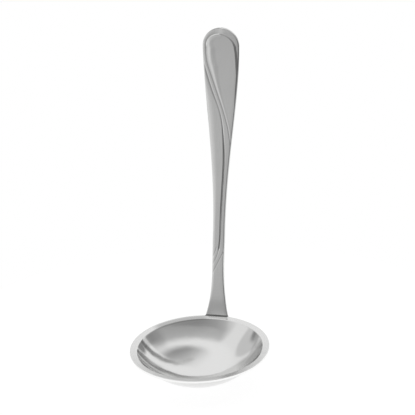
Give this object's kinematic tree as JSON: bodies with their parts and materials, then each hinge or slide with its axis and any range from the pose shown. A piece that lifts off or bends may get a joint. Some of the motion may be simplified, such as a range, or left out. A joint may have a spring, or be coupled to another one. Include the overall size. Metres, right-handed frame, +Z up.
{
  "type": "sauce ladle",
  "caption": "Small stainless sauce ladle: a shallow round bowl with a flat lip, and an upright flat handle with a grooved swirl, welded behind the bowl.",
  "frame": {"origin": "centre of the flat resting face under the bowl", "axes": "+Z up, out of the bowl's mouth and along the upright handle; the handle stands at +Y behind the bowl; +X to the right seen from the front"},
  "size_m": [0.066, 0.1048, 0.1509],
  "materials": {
    "bowl_steel": "mirror polished stainless sheet with fine turning marks",
    "handle_steel": "polished stainless bar with coined grooves",
    "weld_steel": "dull fused spot"
  },
  "bodies": {
    "root": {"bowl": "bowl_steel", "handle": "handle_steel", "spot_weld_left": "weld_steel", "spot_weld_right": "weld_steel"}
  },
  "joints": []
}
